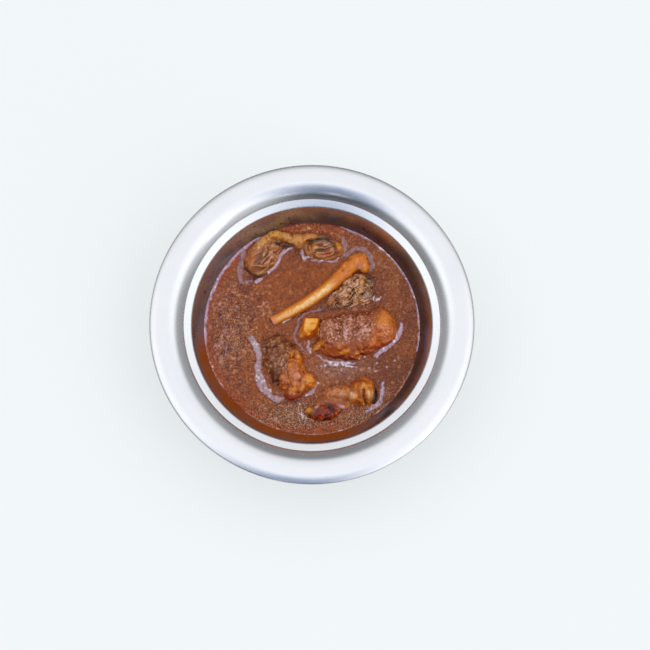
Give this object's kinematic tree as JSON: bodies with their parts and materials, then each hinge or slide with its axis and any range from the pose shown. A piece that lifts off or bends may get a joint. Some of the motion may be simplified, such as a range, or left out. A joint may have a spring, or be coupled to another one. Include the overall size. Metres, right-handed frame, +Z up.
{
  "type": "bowl of peanut stew with chicken",
  "caption": "Round steel serving bowl with a lid ledge and a broad rolled rim, filled with brown peanut stew and chicken on the bone.",
  "frame": {"origin": "middle of the bowl's flat base, on the surface that it stands on", "axes": "+Z up out of the bowl; +Y towards the wing piece and -Y towards the drumette piece; +X towards the thick end of the drumstick"},
  "size_m": [0.263, 0.263, 0.0785],
  "materials": {
    "steel": "spun and brushed stainless steel",
    "stew": "wet, glossy, finely grained sauce",
    "coated_meat": "cooked chicken under a wet coat of sauce",
    "shredded_meat": "moist, fibrous, shredded meat",
    "bone": "smooth wet bone stained by the sauce"
  },
  "bodies": {
    "root": {"bowl": "steel", "stew": "stew", "leg_bone": "bone", "drumstick_knuckle": "bone", "drumstick_meat": "coated_meat", "leg_meat": "shredded_meat", "thigh_piece": "coated_meat", "drumette_piece": "coated_meat", "wing_piece": "coated_meat"}
  },
  "joints": []
}
